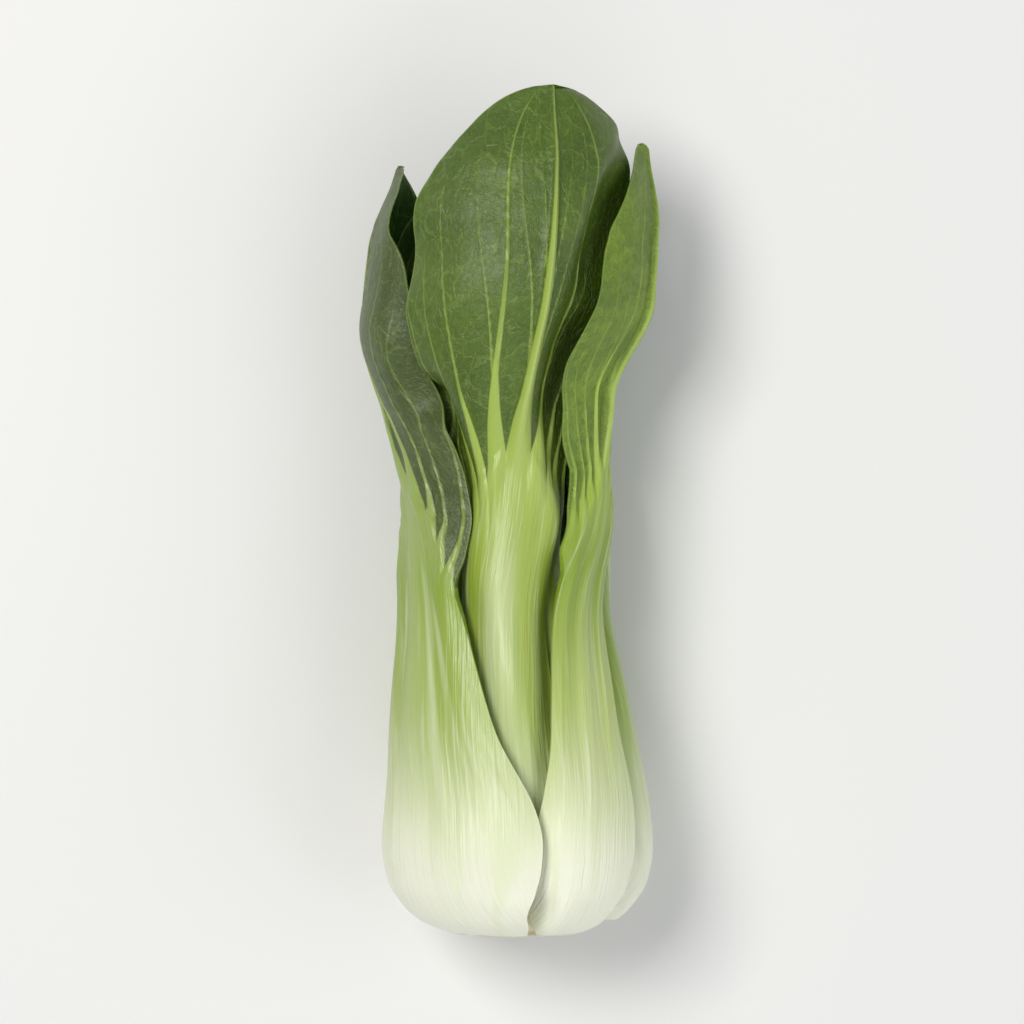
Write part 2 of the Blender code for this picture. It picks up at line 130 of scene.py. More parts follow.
# How far a margin reaches past the leaf's outline, by station
NO_WING = ((0, 0), (LENGTH, 0))


@dataclass
class Leaf:
    """One leaf: foot, neck, opens and tip are stations, turn is its azimuth, and widths are half widths.

    pointed is 0.5 for a round tip and more for a narrower one. parts are the shares of its blade's length
    where the side veins part, from the midrib out, and fan is how far up they are wider. wings widen its
    right and left margins by station, and midrib is the pale share of the midrib's width.
    """

    name: str
    foot: float
    neck: float
    opens: float
    tip: float
    foot_half: float
    neck_half: float
    blade_half: float
    thick: float
    flare: float
    tip_radius: float
    turn: tuple
    inset: float = 0.0
    below_neck: float = 14.0
    blade_gap: float = 2.0
    pointed: float = 0.5
    wave: float = 1.0
    wave_phase: float = 0.0
    mesh_size: float = 0.8
    parts: tuple = (0.21, 0.15, 0.12, 0.07)
    fan: float = 21.0
    wings: tuple = (NO_WING, NO_WING)
    midrib: float = 0.8


# From the outermost leaf to the heart
LEAVES = (
    Leaf("front_left", 0, 98, 113, 184, 31, 10.5, 33, FULL_THICK, 36.2, 34.5,
         ((0, 134), (8, 134), (24, 135), (48, 140), (70, 142.5), (83, 146), (96, 154), (106, 168), (113, 179),
          (120, 189), (127, 195), (134, 196), (146, 193), (184, 190)),
         below_neck=18.0, pointed=0.72, mesh_size=0.6, parts=(0.27, 0.19, 0.12, 0.06), fan=8.0,
         wings=(((0, 2.6), (4, 2.2), (8, 1.6), (14, 1.6), (22, 0.4), (30, 0), (82, 0), (90, 2.2), (100, 3),
                 (115, 2.5), (134, 0)), NO_WING), midrib=0.4),
    Leaf("front_right", 0, 103, 127, 188, 14.0, 7.0, 19.5, 7.0, 34.0, 35.0,
         ((0, 58), (24, 56), (32, 54), (55, 50), (83, 39), (91, 32), (98, 27), (106, 25), (124, 24),
          (188, 17)),
         pointed=0.72, wave_phase=1.7, mesh_size=0.6, fan=13.0,
         wings=(NO_WING, ((0, 10), (4, 9), (8, 7), (14, 3.8), (24, 1), (34, 0), (84, 0), (92, 3.8),
                          (100, 3.6), (110, 0))), midrib=0.45),
    Leaf("underside", 0, 99, 106, 194, 33, 11.5, 31, FULL_THICK, 35.0, 33.0,
         ((0, 266), (100, 272), (194, 276)), blade_gap=3.6, wave_phase=0.6),
    Leaf("front_middle", 10, 105, 110, 200, 27, 11.2, 37, 7.5, 36.5, 31.0,
         ((0, 98), (43, 97), (75, 93.5), (88, 91), (106, 87.5), (118, 83.5), (130, 80.5), (160, 77),
          (200, 74)), below_neck=16.0, blade_gap=3.0, wave_phase=2.9, mesh_size=0.6,
         wings=(((76, 0), (84, 3.5), (91, 8), (100, 8), (110, 4), (124, 0)), NO_WING)),
    Leaf("right_side", 3, 98, 104, 176, 27, 10.5, 27, 7.5, 33.0, 33.0,
         ((0, 350), (80, 352), (176, 342)), wave_phase=4.4),
    Leaf("left_side", 8, 97, 104, 180, 25, 10.5, 27, 7.5, 34.0, 33.0,
         ((0, 206), (80, 210), (180, 226)), blade_gap=2.8, wave_phase=5.5),
    Leaf("inner_left", 18, 94, 100, 172, 17, 8.5, 22, 6.0, 27.0, 28.0,
         ((0, 150), (90, 146), (172, 138)), inset=7.0, wave_phase=0.9),
    Leaf("inner_right", 19, 92, 98, 164, 16, 8.0, 21, 6.0, 26.0, 27.0,
         ((0, 22), (90, 28), (164, 34)), inset=7.0, wave_phase=3.6),
    Leaf("inner_under", 20, 93, 99, 168, 16, 8.0, 22, 6.0, 25.0, 26.0,
         ((0, 282), (90, 284), (168, 288)), inset=7.0, wave_phase=2.2),
    Leaf("heart_front", 30, 86, 92, 146, 9, 5.5, 14, 4.0, 17.0, 15.0,
         ((0, 100), (146, 92)), inset=14.0, wave=0.6, wave_phase=1.2),
    Leaf("heart_left", 32, 78, 84, 130, 7.5, 4.5, 11, 3.0, 12.0, 10.0,
         ((0, 215), (130, 222)), inset=17.5, wave=0.5, wave_phase=4.0),
    Leaf("heart_right", 34, 66, 72, 102, 6.0, 3.8, 8.0, 2.5, 9.0, 7.0,
         ((0, 335), (102, 330)), inset=20.0, wave=0.4, wave_phase=5.1),
)


@dataclass
class Vein:
    """A side vein of half a blade: where it parts, where it fades, its track across, and its widths.

    The track gives shares of the half width by shares of the blade's length.
    """

    parts: float
    fades: float
    track: tuple
    wide: float
    narrow: float


# From the midrib out to the margin: veins that fan out of the stalk, and those that branch off higher up
SIDE_VEINS = (
    Vein(0.22, 0.92, ((0, 0.20), (0.2, 0.265), (0.33, 0.30), (0.57, 0.30), (1, 0.46)), 2.0, 0.3),
    Vein(0.20, 0.76, ((0, 0.42), (0.21, 0.49), (0.51, 0.64), (1, 0.96)), 0.95, 0.2),
    Vein(0.15, 0.60, ((0, 0.60), (0.16, 0.65), (0.40, 0.78), (1, 1.1)), 0.7, 0.2),
    Vein(0.10, 0.50, ((0, 0.80), (0.10, 0.86), (0.25, 0.91), (1, 1.2)), 0.9, 0.25),
)
BRANCHES = (
    Vein(0.56, 0.90, ((0, -0.25), (0.35, -0.15), (0.54, 0.01), (0.75, 0.07), (1, 0.20)), 0.45, 0.15),
    Vein(0.38, 0.88, ((0, -0.10), (0.30, -0.02), (0.37, 0.016), (0.60, 0.13), (1, 0.38)), 0.55, 0.18),
    Vein(0.40, 0.80, ((0, 0.18), (0.33, 0.28), (0.40, 0.305), (0.60, 0.44), (1, 0.80)), 0.5, 0.15),
)

# How far the fan's veins close the room between them, how much veins wander, and how much the midrib thins
FAN_COVER = 1.12
VEIN_WANDER = 0.030
MIDRIB_FADE = 0.6


def smoothstep(low, high, x):
    """Rises smoothly from 0 at low to 1 at high."""
    t = np.clip((np.asarray(x, float) - low) / (high - low), 0.0, 1.0)
    return t * t * (3.0 - 2.0 * t)


def through(points, x):
    """A smooth curve through the points that turns only where they do."""
    px, py = np.array(points, float).T
    slope = np.diff(py) / np.diff(px)
    product = slope[:-1] * slope[1:]
    tangent = np.concatenate([slope[:1], np.zeros(len(product)), slope[-1:]])
    same_way = product > 0
    tangent[1:-1][same_way] = (2.0 * product / (slope[:-1] + slope[1:] + 1e-12))[same_way]
    x = np.clip(np.asarray(x, float), px[0], px[-1])
    i = np.clip(np.searchsorted(px, x) - 1, 0, len(px) - 2)
    h = px[i + 1] - px[i]
    t = (x - px[i]) / h
    rise = t * t * (3.0 - 2.0 * t)
    return (
        py[i] * (1.0 - rise)
        + py[i + 1] * rise
        + h * t * (1.0 - t) * ((1.0 - t) * tangent[i] - t * tangent[i + 1])
    )


def spline_weights(f):
    """Weights of four neighbours in a row, at a fraction f between the middle two."""
    g = 1.0 - f
    return g**3 / 6, (3 * f**3 - 6 * f**2 + 4) / 6, (3 * g**3 - 6 * g**2 + 4) / 6, f**3 / 6


def smooth_sample(grid, row, column):
    """A smooth value between a grid's points, whose columns join up at their ends."""
    i, j = np.floor(row).astype(int), np.floor(column).astype(int)
    total = 0.0
    for a, row_weight in enumerate(spline_weights(row - i)):
        for b, column_weight in enumerate(spline_weights(column - j)):
            near = grid[np.clip(i + a - 1, 0, grid.shape[0] - 1), (j + b - 1) % grid.shape[1]]
            total = total + row_weight * column_weight * near
    return total


def uneven(seed, row, column):
    """Smooth seeded unevenness from -1 to 1, with one hump or hollow about every unit."""
    grid = np.random.default_rng(seed).uniform(-1.6, 1.6, (256, 64))
    return smooth_sample(grid, np.asarray(row, float) + 2.0, np.asarray(column, float) + 20.0)


def blade_start(leaf):
    return leaf.neck - leaf.below_neck


def blade_size(leaf):
    """The scale of what stands on a blade: 1 on the wide ones and less on the young ones."""
    return min(1.0, leaf.blade_half / FULL_BLADE)


def blade_share(leaf, s):
    """Share of the way along the blade, below 0 in the stalk."""
    begin = blade_start(leaf)
    return (np.asarray(s, float) - begin) / (leaf.tip - begin)


def stalk_half(leaf, s):
    """Half width of the stalk, which narrows into the midrib."""
    neck = leaf.neck
    return through(
        (
            (leaf.foot, leaf.foot_half * (CUT_SHARE if leaf.foot < AT_CUT else FOOT_SHARE)),
            (leaf.foot + 12, leaf.foot_half * 0.85),
            (leaf.foot * 0.5 + 24, leaf.foot_half),
            (50, leaf.foot_half * 0.6 + leaf.neck_half * 0.28),
            (neck - 15, leaf.neck_half * 1.16),
            (neck - 3, leaf.neck_half * 0.95),
            (neck + 4, leaf.neck_half * 0.52),
            (neck + 11, leaf.neck_half * 0.26),
            (neck + 26, leaf.neck_half * 0.14),
            (leaf.tip, TIP_MIDRIB),
        ),
        s,
    )


def leaf_half(leaf, s):
    """Half width of the whole leaf: the stalk's, and from the blade's start the blade's outline."""
    u = blade_share(leaf, s)
    at_start = stalk_half(leaf, blade_start(leaf)) / leaf.blade_half
    lower = at_start + (1.0 - at_start) * smoothstep(0.0, WIDEST, u)
    upper = np.clip(1.0 - ((u - WIDEST) / (1.0 - WIDEST)) ** 2, 0.0, 1.0) ** leaf.pointed
    blade = leaf.blade_half * np.where(u < WIDEST, lower, upper)
    return np.where(u < 0.0, stalk_half(leaf, s), blade)


def stalk_depth(leaf, s):
    """How thick the stalk and midrib are at their middle."""
    middle = 0.5 * (leaf.neck + leaf.tip)
    lower = ((0, 1), (40, 1), (leaf.neck - 18, 0.8), (leaf.neck, 0.6))
    upper = ((leaf.neck + 14, 0.27), (middle, 0.2), (leaf.tip, 0.05))
    return leaf.thick * through(lower + upper, s)


def bulge(leaf, s, across, half):
    """The stalk's depth at a distance across it, in a round section of a half width."""
    return stalk_depth(leaf, s) * np.clip(1.0 - (across / half) ** 2, 0.0, 1.0)


def outward(leaf, s):
    """The share of the stalk's depth that stands out of the sheet: none low down, all in the blade."""
    return smoothstep(leaf.neck - 45.0, leaf.neck + 10.0, s)


def wanted_radius(leaf, s, v):
    """The radius that a leaf would take with nothing round it."""
    neck_radius = float(through(BULB, leaf.neck)) - leaf.inset
    middle = 0.45 * leaf.neck + 0.55 * leaf.tip
    below = tuple((at, radius - leaf.inset) for at, radius in BULB if at < leaf.neck - 5)
    above = ((leaf.opens, neck_radius + 0.3), (middle, leaf.flare), (leaf.tip, leaf.tip_radius))
    droop = DROOP * smoothstep(leaf.neck - 10, leaf.neck + 20, s)
    ripple = np.sin(2 * pi * s / RIPPLE_LENGTH + leaf.wave_phase + RIPPLE_SHIFT * (v > 0))
    wave = leaf.wave * smoothstep(leaf.neck + 2, leaf.neck + 22, s) * np.abs(v) ** 3 * ripple
    return through(below + above, s) - droop * v * v + wave


def table_radius(s, azimuth):
    """Radius at which a ray from the axis meets the table."""
    down = np.maximum(-np.sin(np.radians(azimuth)), 1e-3)
    return through(AXIS_HEIGHT, s) / down


def lowered(field):
    """The field's smooth underside."""
    for _ in range(CLEAR_CELLS):
        padded = np.pad(field, ((1, 1), (0, 0)), mode="edge")
        field = np.minimum.reduce([padded[:-2], padded[1:-1], padded[2:]])
        field = np.minimum.reduce([np.roll(field, 1, 1), field, np.roll(field, -1, 1)])
    for _ in range(BLUR_PASSES):
        padded = np.pad(field, ((1, 1), (0, 0)), mode="edge")
        field = 0.25 * padded[:-2] + 0.5 * padded[1:-1] + 0.25 * padded[2:]
        field = 0.25 * np.roll(field, 1, 1) + 0.5 * field + 0.25 * np.roll(field, -1, 1)
    return field


def turned_from(leaf, s, azimuth):
    """Degrees from the leaf's middle to an azimuth, from -180 to 180."""
    return (azimuth - through(leaf.turn, s) + 180.0) % 360.0 - 180.0


class Layer:
    """A leaf laid inside those already laid: its radius over every station and azimuth."""

    def __init__(self, leaf, ceiling):
        self.leaf = leaf
        s, azimuth = np.meshgrid(STATIONS, ANGLES, indexing="ij")
        rows = np.arange(len(STATIONS))
        column = np.round(through(leaf.turn, STATIONS) / TURN_STEP).astype(int) % len(ANGLES)
        room = ceiling[rows, column] - STALK_GAP
        middle = np.minimum(wanted_radius(leaf, STATIONS, 0.0), room)
        kernel = np.ones(2 * MIDDLE_REACH + 1) / (2 * MIDDLE_REACH + 1)
        self.middle = np.convolve(np.pad(middle, MIDDLE_REACH, mode="edge"), kernel, mode="valid")
        across = np.radians(turned_from(leaf, s, azimuth)) * self.middle[:, None]
        v = np.clip(across / np.maximum(leaf_half(leaf, s), 0.5), -1.2, 1.2)
        wide = bulge(leaf, s, across, GROOVE * stalk_half(leaf, s)) ** 2 / stalk_depth(leaf, s)
        gap = STALK_GAP + (leaf.blade_gap - STALK_GAP) * smoothstep(blade_start(leaf), leaf.neck + 6, s)
        stands = outward(leaf, s) * wide + self.proud(s)
        in_stalk = 1.0 - smoothstep(leaf.neck + 4, leaf.neck + 24, s)
        lying = table_radius(s, azimuth) - stands - RIB_ROOM * smoothstep(blade_start(leaf), leaf.neck + 6, s)
        wanted = np.minimum(wanted_radius(leaf, s, v) - in_stalk * stands, lying)
        self.field = wanted + lowered(np.minimum(ceiling - gap - stands - wanted, 0.0))
        inner = self.sheet(s, azimuth) - STALK_EDGE
        inside = (np.abs(across) < leaf_half(leaf, s) + DILATE) & (s > leaf.foot - 2) & (s < leaf.tip + 2)
        self.below = np.where(inside, inner, np.inf)

    def proud(self, s):
        """How far the midrib's face stands off the blade, apart from its own depth."""
        begin = blade_start(self.leaf)
        return (SEAM + RIB_EDGE) * smoothstep(begin - 14, begin - 3, s)

    def radius(self, s, azimuth):
        """The layer's field between the points of its grid."""
        column = (np.asarray(azimuth, float) % 360.0) / TURN_STEP
        return smooth_sample(self.field, np.asarray(s, float), column)

    def across_of(self, s, azimuth):
        return np.radians(turned_from(self.leaf, s, azimuth)) * np.interp(s, STATIONS, self.middle)

    def azimuth_of(self, s, across):
        return through(self.leaf.turn, s) + np.degrees(across / np.interp(s, STATIONS, self.middle))

    def sheet(self, s, azimuth):
        """Outer face of the blade's sheet, which the stalk and ribs lie on."""
        depth = bulge(self.leaf, s, self.across_of(s, azimuth), np.maximum(leaf_half(self.leaf, s), 0.5))
        free = self.radius(s, azimuth) - (1.0 - outward(self.leaf, s)) * depth
        core = through(CORE, s) + SEAM + STALK_EDGE
        grown = smoothstep(self.leaf.foot + 2, self.leaf.foot + 10, s)
        free = core + (free - core) * grown
        return np.maximum(free, core)


def lay_leaves():
    """Lays every leaf inside the ones before it."""
    s, azimuth = np.meshgrid(STATIONS, ANGLES, indexing="ij")
    room = np.full_like(s, 2.0 * LENGTH)
    above = s > CROSSING
    leaf_of = {leaf.name: leaf for leaf in LEAVES}
    over = Layer(leaf_of["front_middle"], room).below
    layers = {}
    for leaf in LEAVES:
        ceiling = room
        for name, layer in layers.items():
            lies_over = leaf.name == "front_middle" and name == "front_left"
            ceiling = np.minimum(ceiling, np.where(above & lies_over, np.inf, layer.below))
        if leaf.name == "front_left":
            ceiling = np.where(above, np.minimum(ceiling, over), ceiling)
        layers[leaf.name] = Layer(leaf, ceiling)
    return list(layers.values())


def place(s, azimuth, radius):
    """A point of the head in metres: station, azimuth and radius to x, y and z."""
    turn = np.radians(azimuth)
    x = through(AXIS_SIDE, s) + radius * np.cos(turn) - CENTRE_SIDE
    z = through(AXIS_HEIGHT, s) + radius * np.sin(turn)
    press = through(PRESS, s)
    z = np.where(z < PRESS_TOP, np.maximum(z - press, 0.0) * PRESS_TOP / (PRESS_TOP - press), z)
    return np.stack([x, np.broadcast_to(s - LENGTH / 2, x.shape), z], axis=-1) * MM


def vein_tracks(leaf, veins, seed, u):
    """Where the veins of one half run, as shares across by row from the midrib out, and their widths."""
    random = np.random.default_rng(seed)
    tracks, widths = [], []
    for vein in veins:
        past = u - vein.parts
        shift = VEIN_WANDER * random.uniform(-1, 1) * smoothstep(-0.05, 0.25, past)
        wander = VEIN_WANDER * uneven(random.integers(1e6), u * 7.0, 0.0) * smoothstep(0.1, 0.4, past)
        tracks.append(through(vein.track, u) + shift + 0.5 * wander)
        share = np.clip((u - vein.parts) / (vein.fades - vein.parts), 0.0, 1.0)
        width = vein.narrow + (vein.wide - vein.narrow) * (1.0 - share) ** 1.8
        width = width * (1.0 - smoothstep(vein.fades, vein.fades + 0.12, u))
        widths.append(width * blade_size(leaf))
    return tracks, widths


def vein_height(off_vein, flank, width):
    """How high a vein stands, off its crest and on flanks this wide: round, and higher where it is wide."""
    shape = np.clip(1.0 - (off_vein / np.maximum(0.5 * flank, LEAST_FLANK)) ** 2, 0.0, 1.0)
    height = RIB_LOW + RIB_SLOPE * np.minimum(width, RIB_WIDEST)
    return shape * height * np.minimum(width / THIN_VEIN, 1.0)


def nearest_veins(v, half, tracks, widths, closed):
    """For every point: the veins crossed from the midrib, millimetres a vein, and the nearest's size.

    The size is a width and a height. Where closed is high, the veins are as wide as the room between them.
    """
    tracks = np.maximum.accumulate(np.array([*tracks, np.full_like(half, 1.3)]), axis=0)
    widths = np.array([*widths, np.zeros_like(half)])
    numbers = np.arange(len(tracks))
    count, pitch, width, even, flank = (np.zeros_like(v) for _ in range(5))
    for row in range(len(v)):
        counted = np.interp(v[row], tracks[:, row], numbers)
        below = np.clip(counted.astype(int), 0, len(tracks) - 2)
        room = (tracks[below + 1, row] - tracks[below, row]) * half[row]
        count[row], pitch[row] = counted, room
        width[row] = np.maximum(widths[np.rint(counted).astype(int), row], room * closed[row, below])
        even[row] = np.interp(v[row], tracks[:, row], widths[:, row])
        flank[row] = np.maximum(even[row], room * closed[row, below])
    return count, pitch, width, vein_height(np.abs(count - np.rint(count)) * pitch, flank, even)


def describe_veins(leaf, s, v):
    """Counts, pitches, widths and heights of the fanning veins with the midrib, then of their branches."""
    u = np.clip(blade_share(leaf, s[:, 0]), 0.0, 1.0)
    half = leaf_half(leaf, s[:, 0])
    length = leaf.tip - blade_start(leaf)
    above = (u[:, None] - np.array([*leaf.parts, 0.0])) * length
    fan = FAN_COVER - np.sign(above) * (np.abs(above) / leaf.fan) ** 0.75
    no_fan = np.zeros((len(u), len(BRANCHES) + 1))
    midrib = 2.0 * leaf.midrib * stalk_half(leaf, blade_start(leaf) + u * length)
    midrib = midrib * (1.0 - MIDRIB_FADE * smoothstep(0.5, 1.0, u))
    found = np.zeros((8, *v.shape))
    for side in (-1, 1):
        picked = v[0] * side >= 0
        away = np.abs(v[:, picked])
        tracks, widths = vein_tracks(leaf, SIDE_VEINS, [LEAVES.index(leaf), side + 1], u)
        fanned = nearest_veins(away, half, [np.zeros_like(u), *tracks], [midrib, *widths], fan)
        tracks, widths = vein_tracks(leaf, BRANCHES, [LEAVES.index(leaf), side + 5], u)
        begun = [smoothstep(vein.parts - 0.03, vein.parts, u) for vein in BRANCHES]
        tracks = [np.full_like(u, -0.6), *tracks]
        widths = [np.zeros_like(u), *(width * share for width, share in zip(widths, begun))]
        branched = nearest_veins(away, half, tracks, widths, no_fan)
        found[:, :, picked] = np.array([*fanned, *branched])
    return found


def describe_leaf(layer, s, v):
    """The radii of a leaf's outer and inner faces, and what its material reads, over a grid of s and v."""
    leaf = layer.leaf
    seed = LEAVES.index(leaf) * 10
    begin = blade_start(leaf)
    in_blade = smoothstep(begin, leaf.neck + 14, s)
    (long_wave, long_share), (short_wave, short_share) = EDGE_WAVES
    edge_wave = long_share * uneven(seed + 1, s / long_wave, np.sign(v) * 8)
    edge_wave = edge_wave + short_share * uneven(seed + 2, s / short_wave, v * 0)
    near_edge = np.clip((np.abs(v) - 0.7) / 0.3, 0.0, 1.0)
    wing = np.where(v < 0, through(leaf.wings[0], s), through(leaf.wings[1], s))
    across = v * leaf_half(leaf, s) * (1.0 + NOTCH * in_blade * edge_wave * near_edge) + v * wing
    azimuth = layer.azimuth_of(s, across)
    half_stalk = stalk_half(leaf, s)
    sheet = layer.sheet(s, azimuth)

    softer = smoothstep(begin - 12, begin + 6, s)
    round_rib = bulge(leaf, s, across, half_stalk)
    soft_rib = stalk_depth(leaf, s) * np.clip(1.0 - (across / (1.5 * half_stalk)) ** 2, 0.0, 1.0) ** 2
    rib = outward(leaf, s) * (round_rib + (soft_rib - round_rib) * softer)
    depth = np.maximum(layer.radius(s, azimuth) + rib - sheet, 0.0)
    depth = depth + layer.proud(s) * (1.0 - smoothstep(begin - 8, begin + 10, s))

    veins = describe_veins(leaf, s, v)
    raised = np.maximum(veins[3], veins[7]) * smoothstep(begin - 8, begin + 8, s)
    past_stalk = np.abs(across) - half_stalk
    lamina = smoothstep(-1.0, 2.5, past_stalk) * smoothstep(begin - 2, begin + 12, s)
    puckers = sum(
        height * uneven(seed + 3 + n, s / size, across / size) for n, (size, height) in enumerate(PUCKERS)
    )
    size = blade_size(leaf)
    frill = FRILL * size * in_blade * np.abs(v) ** 4 * uneven(seed + 6, s / FRILL_LENGTH, np.sign(v) * 9.0)
    curl = TIP_CURL * size * smoothstep(leaf.tip - CURLED, leaf.tip, s)
    moved = lamina * size * puckers * (1.0 - 0.6 * np.minimum(raised, 1.0)) + frill - curl

    shown = smoothstep(*RIDGES_FROM, s) * (1.0 - smoothstep(leaf.neck - 5, leaf.neck + 10, s))
    long_ridge = RIDGE_HEIGHT * leaf.thick / FULL_THICK * shown * np.cos(2 * pi * v / RIDGE_PITCH)
    fine_ridge = FINE_RIDGE * uneven(seed + 7, s / FINE_RIDGE_LENGTH, across / FINE_RIDGE_PITCH)
    fine_ridge = fine_ridge * smoothstep(*FINE_RIDGES_FROM, s)
    ridges = (long_ridge + fine_ridge) * (1.0 - v**4) * (1.0 - smoothstep(leaf.neck - 10, leaf.neck + 8, s))
    outer = sheet + depth + ridges + moved + raised
    to_margin = np.maximum(smoothstep(0.8, 1.0, np.abs(v)), smoothstep(leaf.tip - THIN_TIP, leaf.tip, s))
    thin = LAMINA + (LAMINA_MARGIN - LAMINA) * to_margin
    thick = STALK_EDGE + (thin - STALK_EDGE) * smoothstep(begin - 2, begin + 8, s)
    inner = sheet + moved - thick + INNER_RELIEF * raised
    reads = {
        "vein_count": veins[0],
        "vein_pitch": veins[1],
        "vein_width": veins[2],
        "branch_count": veins[4],
        "branch_pitch": veins[5],
        "branch_width": veins[6],
        "along_blade": blade_share(leaf, s),
        "across_stalk": np.clip(across / half_stalk, -1.5, 1.5),
        "margin": (1.0 - np.abs(v)) * leaf_half(leaf, s),
    }
    return azimuth, across, outer, inner, reads


def fine_rows(leaf):
    """Stations of a leaf's rows, wider apart in the stalk and close at the round tip."""
    begin = blade_start(leaf)
    stalk_rows = round((begin - leaf.foot) / (STALK_ROW * leaf.mesh_size / FINEST_MESH))
    stalk = np.linspace(leaf.foot, begin, stalk_rows + 1)
    share = np.linspace(0.0, 1.0, round((leaf.tip - begin) / leaf.mesh_size) + 1)[1:]
    share = 0.25 * np.sin(share * pi / 2) + 0.75 * share
    return np.concatenate([stalk, begin + (leaf.tip - begin) * share])


def fine_columns(leaf):
    """Shares across a leaf, closer at the midrib."""
    share = np.linspace(-1.0, 1.0, 2 * round(leaf.blade_half / leaf.mesh_size) + 1)
    return 0.78 * share + 0.22 * share**3


def closed_grid(along, across):
    """A closed thin box of a grid and its copy above it, whose last row is drawn together to one point."""
    bm = bmesh.new()
    bmesh.ops.create_grid(bm, x_segments=across, y_segments=along, size=0.5)
    made = bmesh.ops.extrude_face_region(bm, geom=bm.faces[:], use_keep_orig=True)
    lifted = [part for part in made["geom"] if isinstance(part, bmesh.types.BMVert)]
    bmesh.ops.translate(bm, verts=lifted, vec=(0, 0, 1))
    for height in (0, 1):
        last = [vert for vert in bm.verts if vert.co.y > 0.5 - 0.1 / along and round(vert.co.z) == height]
        bmesh.ops.pointmerge(bm, verts=last, merge_co=(0.0, 0.5, height))
    bmesh.ops.recalc_face_normals(bm, faces=bm.faces)
    bmesh.ops.reverse_faces(bm, faces=bm.faces)
    return bm


def leaf_piece(layer):
    """One whole leaf as a fine closed mesh, with the numbers that its material reads."""
    leaf = layer.leaf
    rows, columns = fine_rows(leaf), fine_columns(leaf)
    along, across_steps = len(rows) - 1, len(columns) - 1
    s, v = np.meshgrid(rows, columns, indexing="ij")
    azimuth, across, outer, inner, reads = describe_leaf(layer, s, v)
    faces = np.stack([place(s, azimuth, inner), place(s, azimuth, outer)])
    bm = closed_grid(along, across_steps)
    mesh = bpy.data.meshes.new(f"{leaf.name}_leaf")
    bm.to_mesh(mesh)
    bm.free()
    flat = np.empty(len(mesh.vertices) * 3, np.float32)
    mesh.vertices.foreach_get("co", flat)
    flat = flat.reshape(-1, 3)
    row = np.rint((flat[:, 1] + 0.5) * along).astype(int)
    column = np.rint((flat[:, 0] + 0.5) * across_steps).astype(int)
    side = np.rint(flat[:, 2]).astype(int)
    mesh.vertices.foreach_set("co", faces[side, row, column].astype(np.float32).ravel())
    reads["outer_face"] = None
    for name, values in reads.items():
        values = side if values is None else values[row, column]
        mesh.attributes.new(name, "FLOAT", "POINT").data.foreach_set("value", values.astype(np.float32))
    corner = np.empty(len(mesh.loops), np.int32)
    mesh.loops.foreach_get("vertex_index", corner)
    laid_flat = np.stack([across[row, column], s[row, column]], axis=-1)[corner] / 10.0
    mesh.uv_layers.new(name="laid_flat").data.foreach_set("uv", laid_flat.astype(np.float32).ravel())
    mesh.shade_smooth()
    mesh.set_sharp_from_angle(angle=np.radians(60.0))
    mesh.update()
    return link(mesh)


def link(mesh):
    """Puts a mesh in the scene as an object of the same name."""
    thing = bpy.data.objects.new(mesh.name, mesh)
    bpy.context.scene.collection.objects.link(thing)
    return thing


def stem_piece():
    """The short stem, wide enough to fill the tissue between the leaves' feet, with a hollowed cut face.

    Its profile goes from the middle of the cut to the top, by station and radius.
    """
    profile = (
        (1.1, 0.05), (1.0, 3.0), (0.7, 7.0), (0.35, 11.0), (0.1, 14.0), (0.25, 15.2), (0.9, 15.8),
        (3.0, 16.5), (6.0, 16.2), (9.0, 14.0), (13.0, 10.4), (18.0, 7.4), (25.0, 4.2), (31.0, 1.0),
        (31.6, 0.05),
    )
    fine = np.linspace(0.0, 1.0, STEM_ROWS)
    knots = np.linspace(0.0, 1.0, len(profile))
    stations, radii = (through(tuple(zip(knots, part)), fine) for part in zip(*profile))
    bm = bmesh.new()
    verts = [bm.verts.new(place(at, 90.0, radius)) for at, radius in zip(stations, radii)]
    edges = [bm.edges.new(pair) for pair in zip(verts, verts[1:])]
    bmesh.ops.spin(
        bm, geom=verts + edges, cent=place(0.0, 0.0, 0.0), axis=(0, 1, 0), angle=2 * pi, steps=STEM_STEPS,
        use_merge=True,
    )
    bmesh.ops.holes_fill(bm, edges=[edge for edge in bm.edges if edge.is_boundary], sides=0)
    bmesh.ops.recalc_face_normals(bm, faces=bm.faces)
    mesh = bpy.data.meshes.new("stem_heart")
    bm.to_mesh(mesh)
    bm.free()
    mesh.shade_smooth()
    return link(mesh)


class Value:
    """A number that varies over a surface. Python sums on it add Math nodes."""

    def __init__(self, socket):
        self.socket = socket

    def maths(self, operation, *others):
        made = self.socket.id_data.nodes.new("ShaderNodeMath")
        made.operation = operation
        for entry, given in zip(made.inputs, (self, *others)):
            feed(entry, given)
        return Value(made.outputs[0])

    def __add__(self, other):
        return self.maths("ADD", other)

    __radd__ = __add__

    def __sub__(self, other):
        return self.maths("SUBTRACT", other)

    def __rsub__(self, other):
        return (self * -1.0) + other

    def __mul__(self, other):
        return self.maths("MULTIPLY", other)

    __rmul__ = __mul__

    def __truediv__(self, other):
        return self.maths("DIVIDE", other)

    def __pow__(self, other):
        return self.maths("POWER", other)

    def __abs__(self):
        return self.maths("ABSOLUTE")

    def nearest(self):
        return self.maths("ROUND")


def feed(entry, given):
    """Links a value to a socket, or sets the socket to a plain number or colour."""
    if isinstance(given, Value):
        entry.id_data.links.new(given.socket, entry)
    else:
        entry.default_value = given


